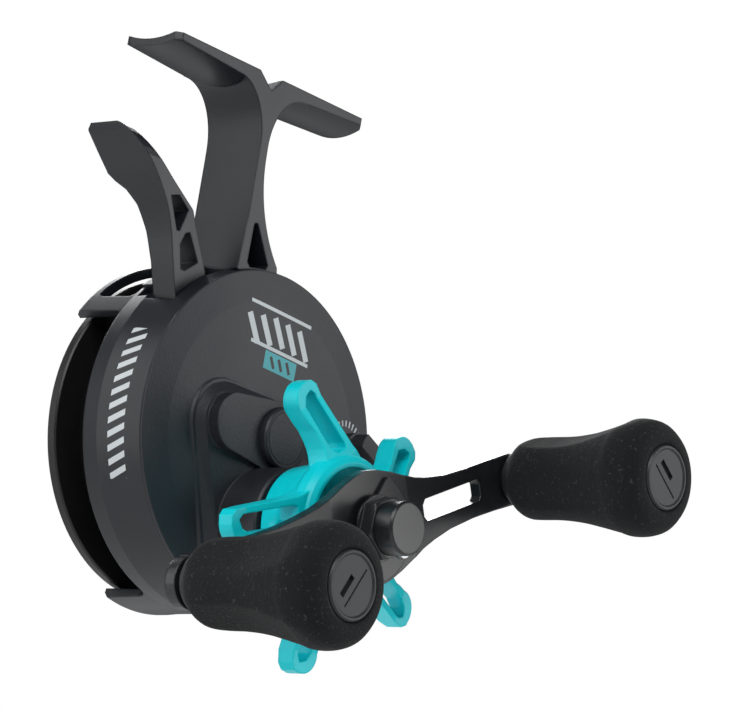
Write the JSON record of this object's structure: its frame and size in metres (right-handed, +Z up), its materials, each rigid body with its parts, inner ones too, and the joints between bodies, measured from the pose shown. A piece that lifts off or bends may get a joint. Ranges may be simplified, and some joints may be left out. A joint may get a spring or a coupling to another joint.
{
  "type": "inline ice fishing reel",
  "caption": "Inline free-fall ice fishing reel with a rod foot, trigger clutch, geared spool, star drag wheel and a double handle with foam knobs.",
  "frame": {"origin": "centre of the rod seat on top of the foot, in the plane of its two flat rails", "axes": "+Z up to the rod, +X back along the rod towards its butt, -X the line and trigger side, -Y the handle side"},
  "size_m": [0.1062, 0.0905, 0.1165],
  "materials": {
    "housing_plastic": "smooth satin, moulded",
    "cover_plastic": "fine moulded grain",
    "spool_plastic": "satin",
    "cyan_plastic": "semi-gloss",
    "arm_black": "satin black",
    "knob_plastic": "satin",
    "foam": "closed-cell foam, fine grain",
    "steel": "brushed",
    "brass": "machined",
    "fibre": "matte friction material"
  },
  "bodies": {
    "housing": {"frame": "housing_plastic", "side_cover": "cover_plastic", "cover_screws": "steel", "bearing_cap": "cover_plastic", "spool_bearing_outer": "steel", "spool_bearing_inner": "steel", "shaft_bearing": "steel", "shaft_bushing": "brass", "anti_reverse_clutch": "steel", "trigger_pin": "steel", "trigger_spring": "steel", "yoke_pins": "steel", "yoke_springs": "steel", "brake_pad": "fibre", "brake_spring": "steel"},
    "trigger": {"trigger_lever": "housing_plastic"},
    "yoke": {"clutch_yoke": "steel"},
    "spool": {"spool": "spool_plastic", "spool_shaft": "steel", "spool_nut": "spool_plastic", "pinion_gear": "brass"},
    "handle": {"main_shaft": "steel", "drive_gear": "brass", "drag_washers": "fibre", "pressure_plate": "steel", "star_spring": "steel", "handle_arm": "arm_black", "keeper_plate": "arm_black", "keeper_screw": "steel", "handle_nut": "arm_black", "nut_cap": "arm_black", "front_spindle": "steel", "rear_spindle": "steel"},
    "star": {"star_wheel": "cyan_plastic"},
    "front_knob": {"front_bushing": "brass", "front_knob_core": "knob_plastic", "front_grip": "foam", "front_knob_cap": "knob_plastic"},
    "rear_knob": {"rear_bushing": "brass", "rear_knob_core": "knob_plastic", "rear_grip": "foam", "rear_knob_cap": "knob_plastic"},
    "drop_speed": {"drop_speed_knob": "knob_plastic", "drop_speed_screw": "steel"}
  },
  "joints": [
    {"name": "handle_turn", "type": "hinge", "parent": "housing", "child": "handle", "pos_m": [0.0095, 0, -0.086], "axis": [0, 1, 0], "continuous": true},
    {"name": "spool_spin", "type": "hinge", "parent": "housing", "child": "spool", "pos_m": [0.0095, 0, -0.0689], "axis": [0, 1, 0], "continuous": true},
    {"name": "star_drag", "type": "hinge", "parent": "handle", "child": "star", "pos_m": [0.0095, 0, -0.086], "axis": [0, 1, 0], "range_deg": [-180, 180]},
    {"name": "front_knob_spin", "type": "hinge", "parent": "handle", "child": "front_knob", "pos_m": [-0.03253, -0.055, -0.10542], "axis": [0, 1, 0], "continuous": true},
    {"name": "rear_knob_spin", "type": "hinge", "parent": "handle", "child": "rear_knob", "pos_m": [0.05153, -0.055, -0.06658], "axis": [0, 1, 0], "continuous": true},
    {"name": "trigger_pull", "type": "hinge", "parent": "housing", "child": "trigger", "pos_m": [-0.009, 0, -0.0509], "axis": [0, 1, 0], "range_deg": [0, 12], "stiffness_Nm_per_rad": 1, "springref_deg": -11.46},
    {"name": "yoke_slide", "type": "slide", "parent": "housing", "child": "yoke", "axis": [0, -1, 0], "range_m": [0, 0.00052]},
    {"name": "drop_speed_turn", "type": "hinge", "parent": "housing", "child": "drop_speed", "pos_m": [0.0329, 0, -0.0659], "axis": [0, 1, 0], "range_deg": [0, 270]}
  ],
  "couplings": [
    {"joint": "spool_spin", "follows": "handle_turn", "ratio": -2.8},
    {"joint": "yoke_slide", "follows": "trigger_pull", "m_per_rad": 0.002387}
  ]
}
